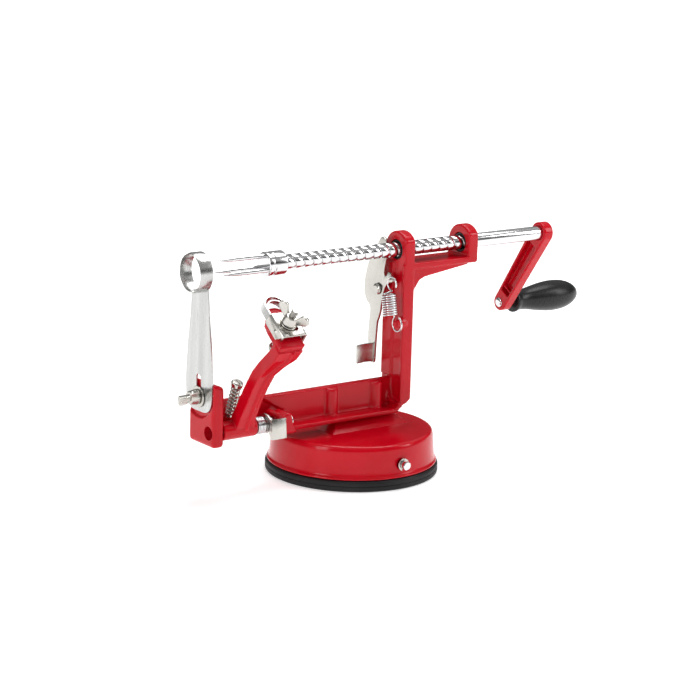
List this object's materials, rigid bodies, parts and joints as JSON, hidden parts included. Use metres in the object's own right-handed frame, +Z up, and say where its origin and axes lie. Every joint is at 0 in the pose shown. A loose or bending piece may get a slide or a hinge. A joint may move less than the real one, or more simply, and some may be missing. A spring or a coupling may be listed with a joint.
{
  "type": "apple peeler corer",
  "caption": "Hand-cranked fruit peeler, corer and slicer: a red C-frame on a suction base carries a threaded drive shaft, a sprung peeling arm and a slotted corer blade.",
  "frame": {"origin": "centre of the suction pad's underside, on the table", "axes": "+X along the drive shaft towards the crank, +Z up, the peeling blade on the -Y side"},
  "size_m": [0.3145, 0.1062, 0.1372],
  "materials": {
    "red_paint": "gloss",
    "pad_rubber": "satin",
    "black_plastic": "satin",
    "bright_steel": "polished",
    "blade_steel": "brushed",
    "plated_steel": "plated"
  },
  "bodies": {
    "base": {"suction_pad": "pad_rubber", "suction_dome": "red_paint", "base_screw_front": "plated_steel", "base_screw_rear": "plated_steel", "frame_casting": "red_paint", "bush_front": "black_plastic", "lever_screw": "plated_steel", "pivot_rod": "bright_steel", "depth_spring": "plated_steel", "arm_spring": "bright_steel", "corer_bolt": "plated_steel", "corer_washer": "plated_steel", "release_spring": "plated_steel"},
    "lock_cam": {"cam_shaft": "bright_steel", "cam_clip": "plated_steel", "suction_lever": "plated_steel"},
    "lock_stud": {"lift_stud": "plated_steel"},
    "turning_bush": {"bush_rear": "black_plastic"},
    "drive": {"drive_shaft": "bright_steel", "fruit_fork": "bright_steel", "crank_arm": "red_paint", "grip_spindle": "plated_steel"},
    "grip": {"handle_grip": "black_plastic"},
    "release": {"release_lever": "plated_steel"},
    "peeler": {"peeler_arm": "red_paint", "blade_clamp": "plated_steel", "peeling_blade": "blade_steel", "clamp_bolt": "plated_steel", "clamp_washer": "plated_steel"},
    "clamp_nut": {"clamp_wing_nut": "plated_steel"},
    "catch": {"arm_catch": "plated_steel"},
    "depth": {"depth_screw": "plated_steel"},
    "corer": {"corer_strap": "blade_steel"},
    "corer_nut": {"corer_wing_nut": "plated_steel"}
  },
  "joints": [
    {"name": "crank_turn", "type": "hinge", "parent": "base", "child": "turning_bush", "pos_m": [0, 0, 0.1261], "axis": [1, 0, 0], "range_deg": [-2820, 4200]},
    {"name": "shaft_feed", "type": "slide", "parent": "turning_bush", "child": "drive", "axis": [1, 0, 0], "range_m": [-0.0471, 0.0701]},
    {"name": "grip_spin", "type": "hinge", "parent": "drive", "child": "grip", "pos_m": [0.1455, 0.033, 0.07719], "axis": [1, 0, 0], "continuous": true},
    {"name": "release_swing", "type": "hinge", "parent": "base", "child": "release", "pos_m": [0.02325, 0.0097, 0.1016], "axis": [1, 0, 0], "range_deg": [-8, 0], "stiffness_Nm_per_rad": 0.08, "springref_deg": 14.32, "deforming": ["release_spring"]},
    {"name": "peeler_swing", "type": "hinge", "parent": "base", "child": "peeler", "pos_m": [-0.087, -0.01, 0.038], "axis": [1, 0, 0], "range_deg": [-6, 40], "stiffness_Nm_per_rad": 0.15, "springref_deg": -7.45},
    {"name": "clamp_nut_turn", "type": "hinge", "parent": "peeler", "child": "clamp_nut", "pos_m": [-0.0746, -0.0396, 0.1016], "axis": [0, -0.6198, 0.7848], "range_deg": [-180, 180]},
    {"name": "catch_swing", "type": "hinge", "parent": "base", "child": "catch", "pos_m": [-0.0682, -0.01, 0.038], "axis": [1, 0, 0], "range_deg": [0, 20]},
    {"name": "depth_screw_turn", "type": "hinge", "parent": "base", "child": "depth", "pos_m": [-0.0869, -0.0102, 0.0649], "axis": [0, 0.348, -0.9375], "range_deg": [-180, 180]},
    {"name": "corer_slide", "type": "slide", "parent": "base", "child": "corer", "axis": [0, 0, 1], "range_m": [-0.0015, 0.002]},
    {"name": "corer_nut_turn", "type": "hinge", "parent": "base", "child": "corer_nut", "pos_m": [-0.1054, 0, 0.0567], "axis": [1, 0, 0], "range_deg": [-180, 180]},
    {"name": "suction_lock", "type": "hinge", "parent": "base", "child": "lock_cam", "pos_m": [0, 0, 0.014], "axis": [0, -1, 0], "range_deg": [0, 180]},
    {"name": "stud_lift", "type": "slide", "parent": "base", "child": "lock_stud", "axis": [0, 0, 1], "range_m": [0, 0.00205]}
  ],
  "couplings": [
    {"joint": "shaft_feed", "follows": "crank_turn", "m_per_rad": 0.00095493},
    {"joint": "stud_lift", "follows": "suction_lock", "m_per_rad": 0.00063662}
  ]
}
